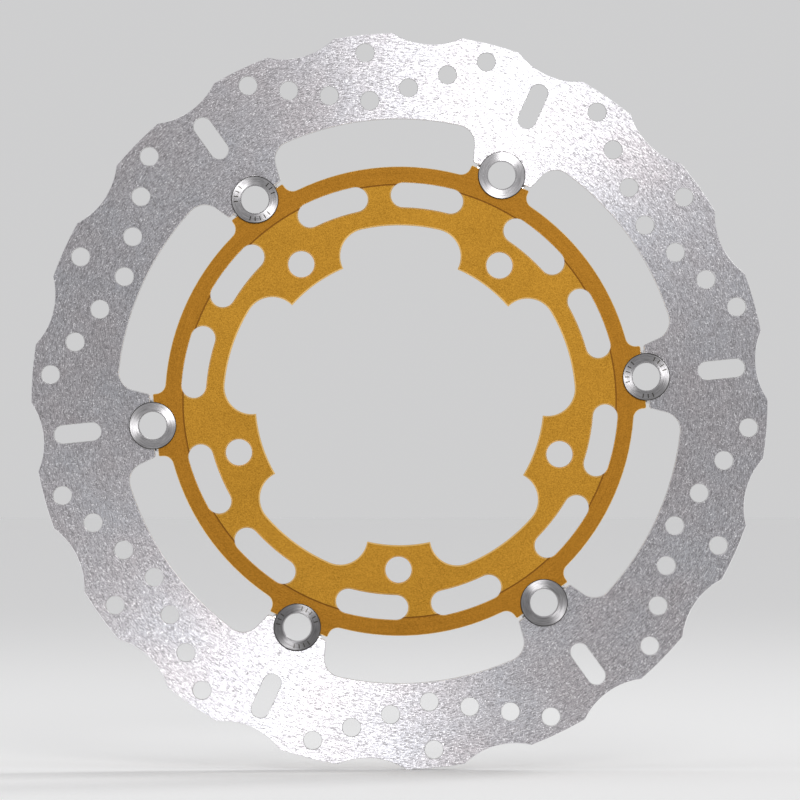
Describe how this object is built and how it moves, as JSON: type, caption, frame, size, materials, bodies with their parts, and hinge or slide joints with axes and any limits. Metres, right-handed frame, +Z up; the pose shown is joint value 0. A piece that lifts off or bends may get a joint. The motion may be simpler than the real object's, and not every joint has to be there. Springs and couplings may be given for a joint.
{
  "type": "motorcycle brake disc rotor",
  "caption": "Floating brake rotor: wave-edged drilled steel ring on hollow drive buttons around a gold spoked carrier with a bolt circle.",
  "frame": {"origin": "centre of the pilot bore, on the carrier's mounting face", "axes": "Y is the rotor's axis with the outer face towards -Y and the wheel hub towards +Y; +Z is up; button 1 is 5.65 degrees above +X, seen from the outer face"},
  "size_m": [0.31, 0.0102, 0.31],
  "materials": {
    "blade_steel": "ground, fine scratches",
    "carrier_gold": "satin gold anodised",
    "button_stamped": "turned and stamped",
    "button_plain": "turned, bright",
    "washer_steel": "bright zinc plated",
    "spring_steel": "oiled spring steel"
  },
  "bodies": {
    "carrier": {"carrier": "carrier_gold"},
    "blade": {"blade": "blade_steel"},
    "button_1": {"drive_button_1": "button_stamped", "wave_washer_1": "spring_steel", "backing_washer_1": "washer_steel", "retaining_ring_1": "spring_steel"},
    "button_2": {"drive_button_2": "button_plain", "wave_washer_2": "spring_steel", "backing_washer_2": "washer_steel", "retaining_ring_2": "spring_steel"},
    "button_3": {"drive_button_3": "button_stamped", "wave_washer_3": "spring_steel", "backing_washer_3": "washer_steel", "retaining_ring_3": "spring_steel"},
    "button_4": {"drive_button_4": "button_plain", "wave_washer_4": "spring_steel", "backing_washer_4": "washer_steel", "retaining_ring_4": "spring_steel"},
    "button_5": {"drive_button_5": "button_stamped", "wave_washer_5": "spring_steel", "backing_washer_5": "washer_steel", "retaining_ring_5": "spring_steel"},
    "button_6": {"drive_button_6": "button_plain", "wave_washer_6": "spring_steel", "backing_washer_6": "washer_steel", "retaining_ring_6": "spring_steel"}
  },
  "joints": [
    {"name": "blade_float", "type": "slide", "parent": "carrier", "child": "blade", "axis": [0, -1, 0], "range_m": [-0.0003, 0], "stiffness_N_per_m": 20000, "springref_m": 0.001, "deforming": ["wave_washer_1", "wave_washer_2", "wave_washer_3", "wave_washer_4", "wave_washer_5", "wave_washer_6"]},
    {"name": "button_spin_1", "type": "hinge", "parent": "carrier", "child": "button_1", "pos_m": [0.10379, 0, 0.01027], "axis": [0, -1, 0], "continuous": true},
    {"name": "button_spin_2", "type": "hinge", "parent": "carrier", "child": "button_2", "pos_m": [0.043, 0, 0.09502], "axis": [0, -1, 0], "continuous": true},
    {"name": "button_spin_3", "type": "hinge", "parent": "carrier", "child": "button_3", "pos_m": [-0.06079, 0, 0.08475], "axis": [0, -1, 0], "continuous": true},
    {"name": "button_spin_4", "type": "hinge", "parent": "carrier", "child": "button_4", "pos_m": [-0.10379, 0, -0.01027], "axis": [0, -1, 0], "continuous": true},
    {"name": "button_spin_5", "type": "hinge", "parent": "carrier", "child": "button_5", "pos_m": [-0.043, 0, -0.09502], "axis": [0, -1, 0], "continuous": true},
    {"name": "button_spin_6", "type": "hinge", "parent": "carrier", "child": "button_6", "pos_m": [0.06079, 0, -0.08475], "axis": [0, -1, 0], "continuous": true}
  ]
}
